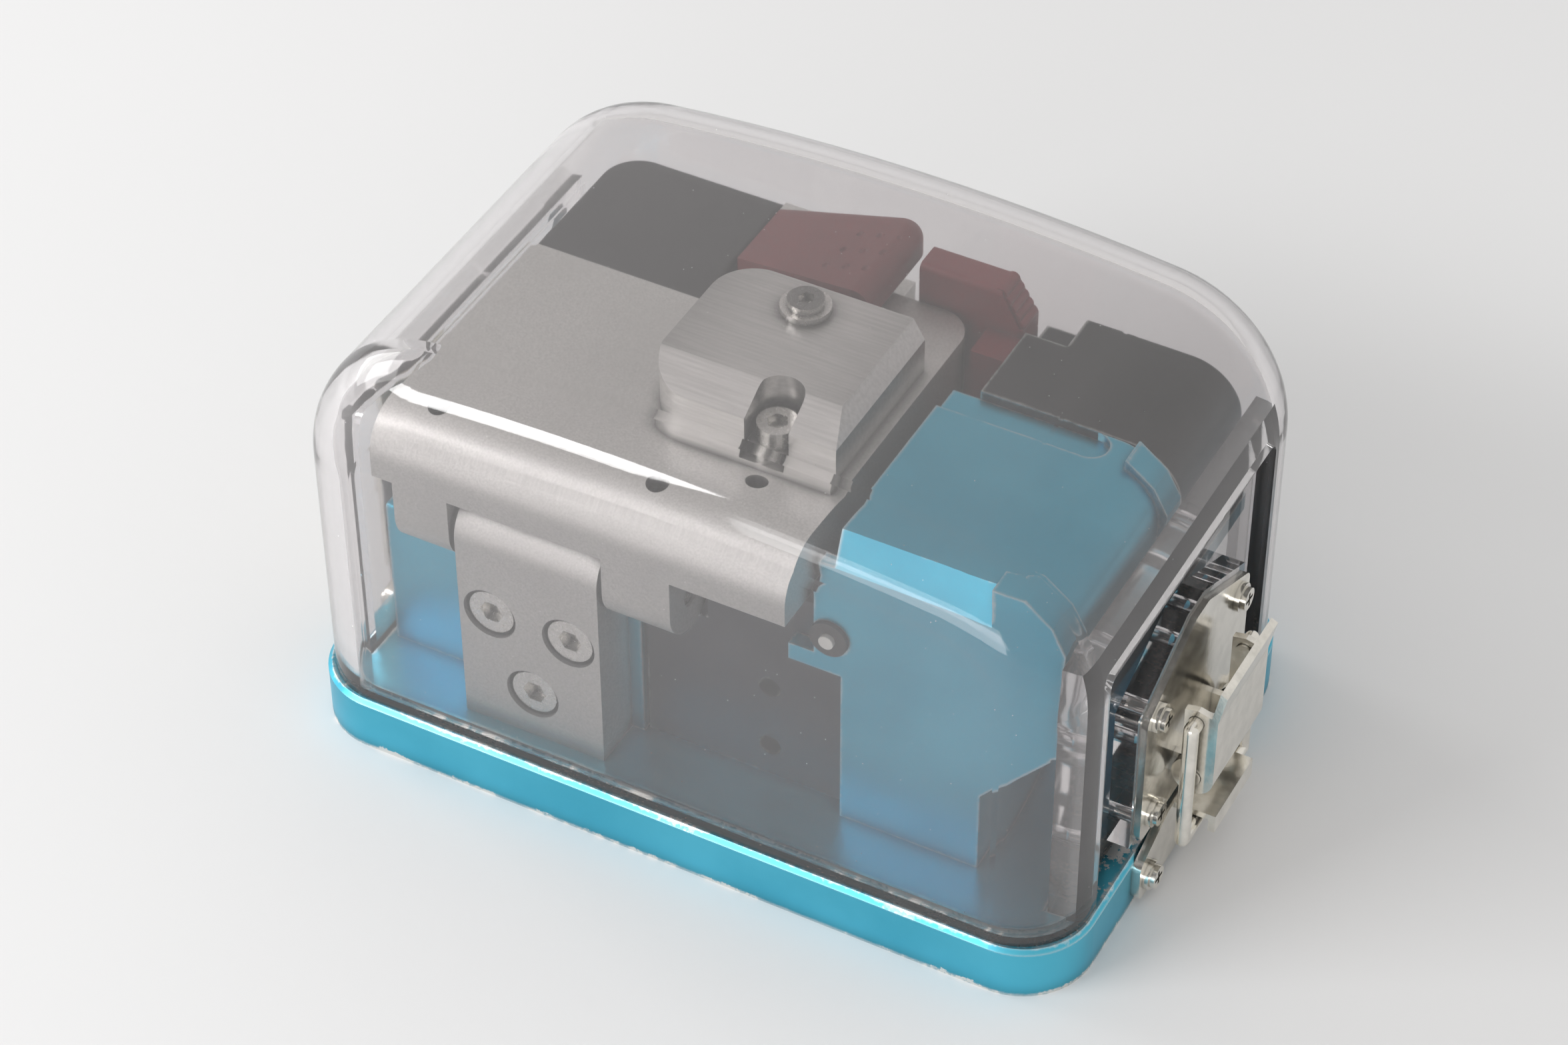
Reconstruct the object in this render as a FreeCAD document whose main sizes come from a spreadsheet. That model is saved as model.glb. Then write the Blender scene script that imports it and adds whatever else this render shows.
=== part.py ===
import FreeCAD, Part
import os
import re
import math
import Sketcher

# Pocket fibre cleaver under a clear storage cover, in millimetres.
# X runs along the long side, Y from the hinge side to the user's side, Z up.
# The origin is under the middle of the base.

doc = FreeCAD.newDocument("fibre_cleaver")
sheet = doc.addObject("Spreadsheet::Sheet", "Dims")

SIZES = [
    # what the rest is worked out from
    ("base_length", 94.0), ("base_width", 62.6), ("cover_top", 56.6),
    # base and its rim
    ("base_corner", 8.4), ("base_top", 7.6), ("ledge_drop", 0.8), ("base_edge", 0.5),
    ("seam", 0.1), ("through", 40.0),
    # clear cover
    ("cover_inset", 0.7), ("cover_wall", 2.4), ("end_radius", 17.0),
    ("crown_radius", 280.0), ("cover_round", 8.2), ("plateau_gap", 0.3),
    ("recess_depth", 2.3), ("recess_half", 21.0), ("recess_drop", 17.1),
    ("recess_top", "cover_top - recess_drop"), ("recess_edge", 0.8), ("pad_margin", 0.5),
    # how far the blocks stand back inside the cover
    ("left_gap", 6.7), ("right_gap", 5.9), ("hinge_gap", 9.8), ("rear_gap", 9.3), ("headroom", 10.5),
    ("left_end", "base_length / 2 - left_gap"), ("right_side", "base_length / 2 - right_gap"),
    ("rear_face", "base_width / 2 - rear_gap"), ("platform_top", "cover_top - headroom"),
    # hinge line and the arm over it
    ("hinge_y", "base_width / 2 - hinge_gap"), ("knuckle", 4.6), ("arm_sunk", 0.7),
    ("arm_thick", 7.6), ("pivot_drop", 5.0), ("arm_top", "platform_top - arm_sunk"),
    ("arm_bottom", "arm_top - arm_thick"), ("hinge_z", "arm_bottom - pivot_drop"),
    ("arm_step", 3.0), ("arm_left", "left_end - arm_step"), ("arm_right", 12.6),
    ("arm_short", 5.5), ("arm_rear", "rear_face - arm_short"), ("arm_nose", 5.2),
    ("arm_corner", 4.0), ("shelf_drop", 4.1), ("shelf_top", "arm_top - shelf_drop"),
    ("shelf_over", 1.8), ("shelf_rear", "rear_face + shelf_over"), ("shelf_right", 1.5),
    ("lug_step", 2.5), ("lug_width", 6.8), ("lug1_left", "arm_left - lug_step"),
    ("lug1_right", "lug1_left - lug_width"), ("lug2_left", 9.2), ("lug2_right", 1.0),
    ("grub_radius", 1.2), ("grub_sink", 1.9), ("grub_length", 5.0), ("grub_key", 0.75),
    ("key_depth", 1.4), ("thread_play", 0.05), ("front_hole_x", 3.7), ("hole_step", 5.5),
    ("pin_radius", 1.5), ("pin_play", 0.03), ("pin_short", 0.4), ("end_screw_back", 1.7),
    ("end_screw_length", 2.0),
    # turquoise body blocks
    ("left_inner", 8.3), ("hinge_proud", 1.6), ("left_front", "hinge_y - hinge_proud"),
    ("arm_rest", 0.6), ("left_top", "arm_bottom - arm_rest"), ("step_rise", 9.6),
    ("left_step", "left_top - step_rise"), ("step_depth", 3.5), ("front_proud", 0.2),
    ("right_front", "hinge_y - front_proud"), ("right_left", 16.6), ("platform_left", 15.3),
    ("platform_rear", 5.4), ("side_round", 6.0), ("rib_height", 0.8), ("rib_width", 3.6),
    ("rib_reach", 4.8), ("rib_start", "right_side - rib_reach"), ("rib_slope", 1.6),
    ("rib_fall", 4.6), ("undercut_depth", 8.1), ("undercut_side", "right_side - undercut_depth"),
    ("side_height", 18.3), ("undercut_high", "platform_top - side_height"),
    ("undercut_fall", 9.4), ("undercut_low", "undercut_high - undercut_fall"),
    ("undercut_step", 3.2), ("undercut_rise", 3.9), ("bevel_depth", 2.0), ("bevel_height", 4.4),
    ("groove_width", 4.1), ("groove_depth", 1.0), ("groove_stop", 9.3),
    ("groove_end", "right_side - groove_stop"), ("rear_left", 18.4), ("split_rise", 2.2),
    ("rear_split", "undercut_high + split_rise"), ("notch_width", 4.9), ("notch_length", 5.7),
    ("notch_depth", 3.1), ("tab_left", 10.4), ("tab_drop", 15.5),
    ("tab_high", "platform_top - tab_drop"), ("tab_height", 2.2), ("tab_low", "tab_high - tab_height"),
    ("wall_left", 13.4), ("wall_thick", 1.9), ("foot_in", 6.0), ("foot_in_front", 7.0),
    # dark centre block with the blade channel
    ("centre_left", 8.0), ("centre_back", 0.7), ("centre_front", "left_front - centre_back"),
    ("centre_drop", 2.0), ("centre_top", "left_top - centre_drop"), ("front_wall", 3.7),
    ("channel_left", 5.5), ("channel_right", 9.5), ("channel_floor", 11.0), ("deck", 2.4),
    ("centre_rear", 5.0), ("lug_relief", 0.6), ("service_hole", 1.3), ("service_x", 7.0),
    ("service_low", 11.9), ("service_pitch", 8.7), ("service_depth", 3.0),
    # hinge bracket between the arm's two lugs
    ("lug_play", 0.65), ("bracket_width", "lug1_right - lug2_left - 2 * lug_play"),
    ("bracket_middle", "(lug1_right + lug2_left) / 2"), ("running", 0.05),
    ("screw_side", "bracket_width * 0.28"), ("screw_drop", 9.2), ("screw_upper", "hinge_z - screw_drop"),
    ("screw_rise", 6.2), ("screw_lower", "base_top + screw_rise"), ("cap_radius", 2.75),
    ("cap_height", 3.0), ("cap_sink", 0.4), ("cap_clearance", 0.5), ("shank_radius", 1.5),
    ("shank_length", 8.0), ("socket_radius", 1.44), ("socket_depth", 1.6),
    # anvil housing
    ("house_left", 11.5), ("house_right", 11.3), ("house_front", 13.8), ("house_rear", 6.4),
    ("house_side", 4.2), ("house_height", 6.6), ("slope_front", 4.1), ("slope_right", 1.4),
    ("house_corner", 5.0), ("slot_x", 3.2), ("slot_radius", 2.6), ("slot_y", 10.7),
    ("slot_floor", 1.0), ("slot_screw_back", 0.6), ("slot_screw_play", 0.35), ("cavity", 6.0),
    ("cavity_top", 4.2), ("cavity_front", 3.2), ("button_x", 0.7), ("button_y", 2.3),
    ("button_radius", 2.8), ("button_height", 1.6), ("button_key", 1.0), ("slot_key", 1.2),
    # anvil and its press tab
    ("anvil_x", 1.6), ("anvil_y", 3.0), ("anvil_radius", 1.8), ("anvil_short", 0.8),
    ("anvil_bottom", "arm_bottom + anvil_short"), ("anvil_proud", 1.0),
    ("anvil_top", "arm_top + anvil_proud"), ("anvil_play", 0.5), ("tab_edge", 14.4),
    ("tab_tip", 3.8), ("tab_start", 1.5), ("tab_low_z", "arm_top + tab_start"), ("tab_rise", 5.2),
    ("tab_high_z", "tab_low_z + tab_rise"), ("tab_thick", 4.2), ("tab_front_left", 12.4),
    ("tab_front_right", 8.0), ("tab_over", 1.2), ("tab_rear", "rear_face + tab_over"),
    ("tab_round", 3.0), ("tab_pivot_x", 12.9), ("tab_pivot_drop", 1.5),
    ("tab_pivot_z", "arm_top - tab_pivot_drop"), ("tab_pin", 1.1), ("finger_thick", 1.6),
    ("finger_half", 1.2), ("finger_reach", 2.0), ("dimple", 0.55), ("dimple_x", 3.6),
    ("dimple_y", 12.2), ("dimple_pitch", 2.4), ("dimple_row", 3.1), ("dimple_lean", 0.5),
    ("well_right", 1.0), ("well_front", 0.6), ("well_floor", 2.0), ("well_half", 5.2),
    ("well_x", 0.4), ("well_over", 0.4), ("ear_width", 2.0), ("tab_ear", 1.8),
    # black pad on the arm
    ("pad_step", 1.3), ("pad_left", "arm_left - pad_step"), ("pad_right", 15.4),
    ("pad_front", 5.7), ("pad_over", 2.8), ("pad_rear", "rear_face + pad_over"), ("pad_corner", 4.5),
    # clamps
    ("clamp_length", 6.0), ("clamp_width", 3.8), ("clamp_gap", 0.7), ("lower_pad", 1.8),
    ("upper_pad", 0.6), ("upper_bed", 1.5), ("blade_gap", 0.9),
    # slider, knob and blade wheel
    ("slider_play", 0.3), ("slider_back", 7.2), ("slider_front", "centre_front - slider_back"),
    ("knob_in", 5.2), ("knob_front", "rear_face - knob_in"), ("knob_gap", 0.4),
    ("slider_rear", "knob_front - knob_gap"), ("slider_clear", 0.7),
    ("slider_height", "centre_top - deck - channel_floor - slider_clear"), ("wheel_radius", 8.0),
    ("wheel_thick", 0.8), ("wheel_back", 12.7), ("wheel_y", "centre_front - wheel_back"),
    ("wheel_drop", 6.3), ("wheel_z", "centre_top - wheel_drop"), ("axle_radius", 1.5),
    ("rod_radius", 1.5), ("rod_left", 2.6), ("rod_right", 6.6), ("rod_z", 14.6), ("rod_sink", 1.0),
    ("knob_depth", 4.0), ("knob_left", 5.4), ("knob_right", 17.8), ("knob_proud", 4.1),
    ("knob_top", "platform_top + knob_proud"), ("knob_rib", 15.0), ("knob_bottom", 20.0),
    ("knob_foot", 8.0), ("knob_foot_drop", 4.0), ("ridges", 5), ("ridge_radius", 0.75),
    ("ridge_inset", 0.3), ("nose_depth", 4.3), ("nose_front", "knob_front - nose_depth"),
    ("nose_left", 13.7), ("nose_sink", 1.5), ("nose_top", "platform_top - nose_sink"),
    ("nose_height", 12.6), ("nose_bottom", "nose_top - nose_height"), ("knob_screw_x", 2.0),
    ("knob_screw_rise", 14.0), ("knob_head", 1.6), ("knob_key", 1.15),
    # small fixed pieces
    ("bumper_x", 15.3), ("bumper_rise", 0.7), ("bumper_z", "hinge_z + bumper_rise"),
    ("bumper_radius", 2.25), ("bumper_out", 0.5), ("stud_radius", 0.85), ("stud_out", 0.5),
    ("magnet_radius", 3.0), ("magnet_length", 3.0), ("magnet_in", 11.3), ("striker_length", 1.8),
    ("magnet_x", "left_end - magnet_in"), ("magnet_back", 8.0), ("magnet_y", "rear_face - magnet_back"),
    # latch on each end
    ("plate_thick", 0.9), ("plate_half", 13.2), ("plate_low", 9.6), ("plate_side", 27.6),
    ("plate_peak", 33.0), ("peak_half", 1.6), ("plate_round", 1.4), ("latch_screw_y", 10.4),
    ("latch_screw_low", 12.3), ("latch_screw_high", 26.3), ("dome_radius", 1.7),
    ("dome_height", 1.2), ("cross_half", 0.9), ("cross_width", 0.2), ("cross_depth", 0.5),
    ("small_shank", 0.95), ("small_length", 3.4), ("ear_out", 5.4), ("ear_round", 1.45),
    ("ear_thick", 0.8), ("pivot_out", 2.9), ("pivot_z", 15.4), ("latch_pin", 1.0),
    ("pin_proud", 0.3), ("lever_half", 6.6), ("lever_thick", 0.8), ("lever_face", 4.5),
    ("lever_high", 24.6), ("lip_out", 0.8), ("lip_rise", 4.0), ("lip_turn", 0.4),
    ("flange_in", 1.4), ("ear_room", 3.0), ("ear_room_out", 1.2), ("bail_out", 2.9),
    ("bail_wire", 0.85), ("bail_half", 7.9), ("bail_top", 23.4), ("bail_low", 7.05),
    ("keeper_thick", 1.0), ("keeper_half", 13.4), ("keeper_low", 0.9), ("keeper_side", 6.2),
    ("keeper_top", 8.9), ("hook_half", 5.0), ("hook_spread", 1.5), ("hook_sheet", 0.8),
    ("hook_reach", 5.8), ("hook_drop", 2.4), ("keeper_screw_y", 11.0), ("keeper_screw_z", 3.4),
    # screws under the base
    ("foot_radius", 2.75), ("foot_head", 3.0), ("foot_length", 9.0),
]
NAMES = [name for name, _ in SIZES]
for row, (name, size) in enumerate(SIZES, start=1):
    sheet.set("A%d" % row, name)
    sheet.setAlias("B%d" % row, name)
for row, (name, size) in enumerate(SIZES, start=1):
    sheet.set("B%d" % row, "=" + size if isinstance(size, str) else str(size))
doc.recompute()

WORD = re.compile(r"[a-z][a-z0-9_]*")


def bound(text):
    """Point every size named in a formula at the sheet."""
    return WORD.sub(lambda m: "Dims." + m.group(0) if m.group(0) in NAMES else m.group(0), text)


def value(text):
    """The number a formula gives now, for first guesses and edge picking."""
    table = {name: sheet.get(name) for name in NAMES}
    total = 0.0
    for sign, term in re.findall(r"([+-]?)\s*([^+-]+)", text):
        product = 1.0
        for op, factor in re.findall(r"([*/]?)\s*([^*/\s]+)", term):
            number = table[factor] if factor in table else float(factor)
            product = product / number if op == "/" else product * number
        total += -product if sign == "-" else product
    return total


def start(label):
    body = doc.addObject("PartDesign::Body", label)
    body.Label = label
    body.AllowCompound = True
    return body


def put(feature, place):
    for axis, text in zip("xyz", place):
        feature.setExpression("Placement.Base." + axis, bound(text))


def box(body, low, high, cut=False):
    """A block between two corners, each given by formulas."""
    feature = body.newObject("PartDesign::SubtractiveBox" if cut else "PartDesign::AdditiveBox", "Block")
    for side, a, b in zip(("Length", "Width", "Height"), low, high):
        feature.setExpression(side, bound("(%s) - (%s)" % (b, a)))
    put(feature, low)
    return feature


TURN = {"x": FreeCAD.Rotation(FreeCAD.Vector(0, 1, 0), 90),
        "y": FreeCAD.Rotation(FreeCAD.Vector(1, 0, 0), -90),
        "z": FreeCAD.Rotation()}


def rod(body, axis, place, radius, length, cut=False, sides=0):
    """A round or many-sided bar that starts at place and runs along +axis."""
    kind = "Prism" if sides else "Cylinder"
    feature = body.newObject("PartDesign::%s%s" % ("Subtractive" if cut else "Additive", kind), "Bar")
    feature.Placement = FreeCAD.Placement(FreeCAD.Vector(), TURN[axis])
    if sides:
        feature.Polygon = sides
    feature.setExpression("Circumradius" if sides else "Radius", bound(radius))
    feature.setExpression("Height", bound(length))
    put(feature, place)
    return feature


def dome(body, place, radius, cut=False):
    feature = body.newObject("PartDesign::SubtractiveSphere" if cut else "PartDesign::AdditiveSphere", "Dome")
    feature.setExpression("Radius", bound(radius))
    put(feature, place)
    return feature


PLANES = {"z": "XY_Plane", "y": "XZ_Plane", "x": "YZ_Plane"}


def sketch_on(body, normal, level):
    """An empty sketch square to an axis at a level along it."""
    plane = [o for o in body.Origin.OriginFeatures if o.Role == PLANES[normal]][0]
    sketch = body.newObject("Sketcher::SketchObject", "Outline")
    sketch.AttachmentSupport = [(plane, "")]
    sketch.MapMode = "FlatFace"
    sign = "-" if normal == "y" else ""
    sketch.setExpression(".AttachmentOffset.Base.z", bound("%s(%s)" % (sign, level)))
    return sketch


def pin_point(sketch, item, end, name, place):
    """Hold one sketch point at two formulas."""
    for axis, text in zip("XY", place):
        held = sketch.addConstraint(Sketcher.Constraint("Distance" + axis, -1, 1, item, end, value(text)))
        sketch.renameConstraint(held, name + axis)
        sketch.setExpression("Constraints." + name + axis, bound(text))


def outline(body, normal, level, points):
    sketch = sketch_on(body, normal, level)
    count = len(points)
    spots = [FreeCAD.Vector(value(a), value(b), 0) for a, b in points]
    for i in range(count):
        sketch.addGeometry(Part.LineSegment(spots[i], spots[(i + 1) % count]), False)
    for i in range(count):
        sketch.addConstraint(Sketcher.Constraint("Coincident", i, 2, (i + 1) % count, 1))
    for i, place in enumerate(points):
        pin_point(sketch, i, 1, "p%d" % i, place)
    return sketch


def raise_to(body, sketch, length, cut=False, back=False):
    feature = body.newObject("PartDesign::Pocket" if cut else "PartDesign::Pad", "Run")
    feature.Profile = sketch
    feature.setExpression("Length", bound(length))
    feature.Reversed = back
    return feature


def slab(body, normal, level, points, length, cut=False):
    """A many-sided block: its outline at a level, run along +normal."""
    sketch = outline(body, normal, level, points)
    # a sketch on the XZ plane faces -Y, and a pocket runs against its sketch
    back = (normal == "y") != cut
    return raise_to(body, sketch, length, cut, back)


def near(a, b, slack=0.02):
    return abs(a - b) < slack


def rounded(body, radius, test):
    feature = body.newObject("PartDesign::Fillet", "Round")
    feature.Base = (feature.BaseFeature, edges_where_base(feature, test))
    feature.setExpression("Radius", bound(radius))
    doc.recompute()
    return feature


def edges_where_base(feature, test):
    return ["Edge%d" % (i + 1) for i, edge in enumerate(feature.BaseFeature.Shape.Edges) if test(edge)]


def bevelled(body, size, test):
    feature = body.newObject("PartDesign::Chamfer", "Bevel")
    feature.Base = (feature.BaseFeature, edges_where_base(feature, test))
    feature.setExpression("Size", bound(size))
    doc.recompute()
    return feature


def along(edge, axis):
    box_ = edge.BoundBox
    spans = {"x": box_.XLength, "y": box_.YLength, "z": box_.ZLength}
    return spans[axis] > 0.2 and all(spans[k] < 0.01 for k in spans if k != axis)


def middle(edge):
    return edge.BoundBox.Center


# ---------------------------------------------------------------- base
base = start("base_plate")
box(base, ("-base_length / 2", "-base_width / 2", "0"),
    ("base_length / 2", "base_width / 2", "base_top - ledge_drop"))
doc.recompute()
rounded(base, "base_corner", lambda e: along(e, "z"))
bevelled(base, "base_edge", lambda e: near(middle(e).z, value("base_top - ledge_drop")))
COVER_X = "base_length / 2 - cover_inset"
COVER_Y = "base_width / 2 - cover_inset"
INNER_X = COVER_X + " - cover_wall - plateau_gap"
INNER_Y = COVER_Y + " - cover_wall - plateau_gap"
box(base, ("-base_length / 2 + cover_inset + cover_wall + plateau_gap",
           "-base_width / 2 + cover_inset + cover_wall + plateau_gap", "base_top - ledge_drop"),
    (INNER_X, INNER_Y, "base_top"))
doc.recompute()
rounded(base, "cover_round - cover_wall",
        lambda e: along(e, "z") and near(e.Length, value("ledge_drop")))
for low, high in (("-base_length / 2", "-base_length / 2 + cover_inset + recess_depth + cover_wall + plateau_gap"),
                  ("base_length / 2 - cover_inset - recess_depth - cover_wall - plateau_gap", "base_length / 2")):
    box(base, (low, "-recess_half - cover_wall - plateau_gap", "base_top - ledge_drop"),
        (high, "recess_half + cover_wall + plateau_gap", "base_top + 1"), cut=True)
# screws come up from below into both blocks and the centre
FEET = [("-left_end + foot_in", "-left_front + foot_in_front"), ("-left_end + foot_in", "rear_face - foot_in"),
        ("-left_inner - foot_in", "rear_face - foot_in"), ("right_left + foot_in", "-right_front + foot_in_front"),
        ("right_left + foot_in_front", "rear_face - foot_in")]
for x, y in FEET:
    rod(base, "z", (x, y, "0"), "foot_radius + cap_clearance", "foot_head + cap_sink", cut=True)
    rod(base, "z", (x, y, "0"), "shank_radius + thread_play", "base_top", cut=True)

base_screws = start("base_screws")
for x, y in FEET:
    rod(base_screws, "z", (x, y, "cap_sink"), "foot_radius", "foot_head")
    rod(base_screws, "z", (x, y, "cap_sink"), "shank_radius", "foot_head + foot_length")
    rod(base_screws, "z", (x, y, "cap_sink"), "socket_radius", "socket_depth", cut=True, sides=6)


# ---------------------------------------------------------------- body blocks
def foot_holes(body, spots):
    for x, y in spots:
        rod(body, "z", (x, y, "base_top"), "shank_radius + thread_play",
            "cap_sink + foot_head + foot_length - base_top + seam", cut=True)


left = start("body_left")
slab(left, "x", "-left_end",
     [("-left_front", "base_top"), ("rear_face", "base_top"), ("rear_face", "left_top"),
      ("-left_front + step_depth", "left_top"), ("-left_front + step_depth", "left_step"),
      ("-left_front", "left_step")], "left_end - left_inner")
doc.recompute()
rounded(left, "base_edge", lambda e: along(e, "x") and middle(e).z > value("left_step - 1"))
for x, z in (("-bracket_middle - screw_side", "screw_upper"),
             ("-bracket_middle + screw_side", "screw_upper"), ("-bracket_middle", "screw_lower")):
    rod(left, "y", (x, "-left_front", z), "shank_radius + thread_play", "shank_length", cut=True)
rod(left, "z", ("-magnet_x", "magnet_y", "left_top - magnet_length"),
    "magnet_radius + thread_play", "magnet_length", cut=True)
foot_holes(left, FEET[:3])

right = start("body_right")
UNDERCUT = [("undercut_side", "base_top"), ("undercut_side", "undercut_low"),
            ("undercut_side + undercut_step", "undercut_low + undercut_rise"), ("right_side", "undercut_high")]
slab(right, "y", "-right_front",
     [("right_left", "base_top")] + UNDERCUT[:3] +
     [("right_side - rib_height", "undercut_high - rib_height"),
      ("right_side - rib_height", "platform_top"), ("platform_left", "platform_top"),
      ("platform_left", "centre_top + 2 * seam"), ("right_left", "centre_top + 2 * seam")],
     "right_front + platform_rear - seam")
doc.recompute()
rounded(right, "side_round", lambda e: along(e, "y") and
        near(middle(e).x, value("right_side - rib_height")) and near(middle(e).z, value("platform_top")))
slab(right, "y", "platform_rear - seam",
     [("rear_left", "base_top")] + UNDERCUT + [("right_side", "rear_split"), ("rear_left", "rear_split")],
     "rear_face - platform_rear + seam")
# the steep bevel along the front of the platform
slab(right, "x", "platform_left - 2",
     [("-right_front - 1", "platform_top - bevel_height"), ("-right_front", "platform_top - bevel_height"),
      ("-right_front + bevel_depth", "platform_top"), ("-right_front + bevel_depth", "platform_top + 1"),
      ("-right_front - 1", "platform_top + 1")], "undercut_side - platform_left + 2", cut=True)
# front and rear ribs that stand proud of the brushed edge
for low, high, first in (("-right_front", "-right_front + rib_width", "undercut_side"),
                         ("platform_rear - seam - rib_width", "platform_rear - seam", "rib_start")):
    slab(right, "y", low,
         [(first, "platform_top - notch_depth"), ("right_side - notch_depth", "undercut_high - rib_slope"),
          ("right_side", "undercut_high"), ("right_side", "platform_top - rib_fall"),
          ("right_side - rib_slope", "platform_top - rib_slope"), ("right_side - rib_fall", "platform_top + rib_height"),
          (first, "platform_top + rib_height")], "rib_width")
# the wall and the little tab that reach over the centre block's face
box(right, ("wall_left", "-right_front", "tab_high"),
    ("right_left + 1", "-right_front + wall_thick", "platform_top - bevel_height"))
box(right, ("tab_left", "-right_front", "tab_low"),
    ("right_left + 1", "-right_front + wall_thick", "tab_high"))
# the milled groove beside the dark block
box(right, ("platform_left - 1", "platform_rear - seam - groove_width", "platform_top - groove_depth"),
    ("groove_end", "platform_rear", "platform_top + 1"), cut=True)
rod(right, "z", ("groove_end", "platform_rear - seam - groove_width / 2", "platform_top - groove_depth"),
    "groove_width / 2", "groove_depth + 1", cut=True)
rod(right, "y", ("bumper_x", "-right_front", "bumper_z"), "bumper_radius", "wall_thick / 2", cut=True)
foot_holes(right, FEET[3:])

rear = start("rear_block")
slab(rear, "y", "platform_rear",
     [("rear_left", "rear_split + seam"), ("right_side", "rear_split + seam"),
      ("right_side", "platform_top"), ("rear_left", "platform_top")], "rear_face - platform_rear")
doc.recompute()
rounded(rear, "side_round", lambda e: along(e, "y") and middle(e).x > value("right_side - 1")
        and near(middle(e).z, value("platform_top")))
rounded(rear, "base_edge * 2", lambda e: near(middle(e).y, value("rear_face")) and
        middle(e).z > value("platform_top - side_round") and not along(e, "z"))
box(rear, ("rear_left - 1", "rear_face - notch_length", "platform_top - notch_depth"),
    ("rear_left + notch_width", "rear_face + 1", "platform_top + 1"), cut=True)

centre = start("centre_block")
box(centre, ("-centre_left", "-centre_front", "base_top"),
    ("right_left - seam", "centre_rear", "centre_top"))
box(centre, ("-channel_left", "-centre_front + front_wall", "channel_floor"),
    ("channel_right", "centre_rear + 1", "centre_top - deck"), cut=True)
box(centre, ("-centre_left - 1", "-centre_front - 1", "left_step"),
    ("-lug2_right + lug_relief", "-left_front + step_depth", "centre_top + 1"), cut=True)
box(centre, ("anvil_x - blade_gap", "-wheel_y - wheel_radius - 1", "centre_top - deck - 1"),
    ("anvil_x + blade_gap", "centre_rear + 1", "centre_top + 1"), cut=True)
for step in ("0", "service_pitch"):
    rod(centre, "y", ("service_x", "-centre_front", "service_low + " + step), "service_hole",
        "service_depth", cut=True)
for x in ("-rod_left", "rod_right"):
    rod(centre, "y", (x, "-centre_front + rod_sink", "rod_z"), "rod_radius + thread_play", "front_wall", cut=True)

# ---------------------------------------------------------------- hinge
bracket = start("hinge_bracket")
box(bracket, ("-bracket_middle - bracket_width / 2", "-hinge_y - knuckle", "base_top"),
    ("-bracket_middle + bracket_width / 2", "-left_front", "hinge_z"))
rod(bracket, "x", ("-bracket_middle - bracket_width / 2", "-hinge_y", "hinge_z"), "knuckle", "bracket_width")
rod(bracket, "x", ("-bracket_middle - bracket_width / 2 - 1", "-hinge_y", "hinge_z"),
    "pin_radius + running", "bracket_width + 2", cut=True)
BRACKET_SCREWS = [("-bracket_middle - screw_side", "screw_upper"),
                  ("-bracket_middle + screw_side", "screw_upper"), ("-bracket_middle", "screw_lower")]
bracket_screws = start("bracket_screws")
for x, z in BRACKET_SCREWS:
    rod(bracket, "y", (x, "-hinge_y - knuckle", z), "cap_radius + cap_clearance",
        "cap_height + cap_sink", cut=True)
    rod(bracket, "y", (x, "-hinge_y - knuckle", z), "shank_radius + thread_play", "through", cut=True)
    rod(bracket_screws, "y", (x, "-hinge_y - knuckle + cap_sink", z), "cap_radius", "cap_height")
    rod(bracket_screws, "y", (x, "-hinge_y - knuckle + cap_sink", z), "shank_radius",
        "cap_height + shank_length")
    rod(bracket_screws, "y", (x, "-hinge_y - knuckle + cap_sink", z), "socket_radius",
        "socket_depth", cut=True, sides=6)

hinge_pin = start("hinge_pin")
rod(hinge_pin, "x", ("-lug1_left + pin_short", "-hinge_y", "hinge_z"), "pin_radius",
    "lug1_left - lug2_right - 2 * pin_short")

# ---------------------------------------------------------------- arm
arm = start("arm")
box(arm, ("-arm_left", "-hinge_y - knuckle", "arm_bottom"), ("arm_right", "arm_rear", "arm_top"))
doc.recompute()
rounded(arm, "arm_nose", lambda e: along(e, "x") and near(middle(e).z, value("arm_top"))
        and middle(e).y < 0)
rounded(arm, "arm_corner", lambda e: along(e, "z") and middle(e).x > 0 and middle(e).y > 0)
box(arm, ("-pad_left", "pad_front", "arm_bottom"), ("shelf_right", "shelf_rear", "shelf_top"))
# seat for the black pad, then the well under the press tab
box(arm, ("-arm_left - 1", "pad_front", "shelf_top"), ("-pad_right + seam", "arm_rear + 1", "arm_top + 1"),
    cut=True)
box(arm, ("-pad_right", "tab_front_right - well_front", "shelf_top"), ("-well_right", "arm_rear + 1", "arm_top + 1"),
    cut=True)
box(arm, ("well_x - well_half", "-anvil_y - cavity_front", "shelf_top + well_floor"),
    ("well_x + well_half", "tab_front_right", "arm_top + 1"), cut=True)
# ear that carries the far end of the tab's pin
box(arm, ("-pad_right + seam", "tab_rear + slider_play", "arm_bottom"),
    ("-tab_pivot_x + ear_width", "tab_rear + tab_ear", "arm_top"))
rod(arm, "y", ("-tab_pivot_x", "tab_front_right - tab_thick", "tab_pivot_z"), "tab_pin + running",
    "through", cut=True)
for a, b in (("-lug1_left", "-lug1_right"), ("-lug2_left", "-lug2_right")):
    box(arm, (a, "-hinge_y - knuckle", "hinge_z"), (b, "-hinge_y + knuckle", "arm_bottom"))
    rod(arm, "x", (a, "-hinge_y", "hinge_z"), "knuckle", "(%s) - (%s)" % (b, a))
rod(arm, "x", ("-lug1_left - 1", "-hinge_y", "hinge_z"), "pin_radius + pin_play", "lug1_left + 1", cut=True)
GRUBS = ["-(lug1_left + lug1_right) / 2", "-(lug2_left + lug2_right) / 2"]
for x in GRUBS:
    rod(arm, "z", (x, "-hinge_y", "hinge_z"), "grub_radius + thread_play", "arm_top - hinge_z", cut=True)
rod(arm, "z", ("front_hole_x", "-hinge_y + hole_step", "arm_bottom"), "grub_radius + thread_play",
    "arm_top - arm_bottom", cut=True)
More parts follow.
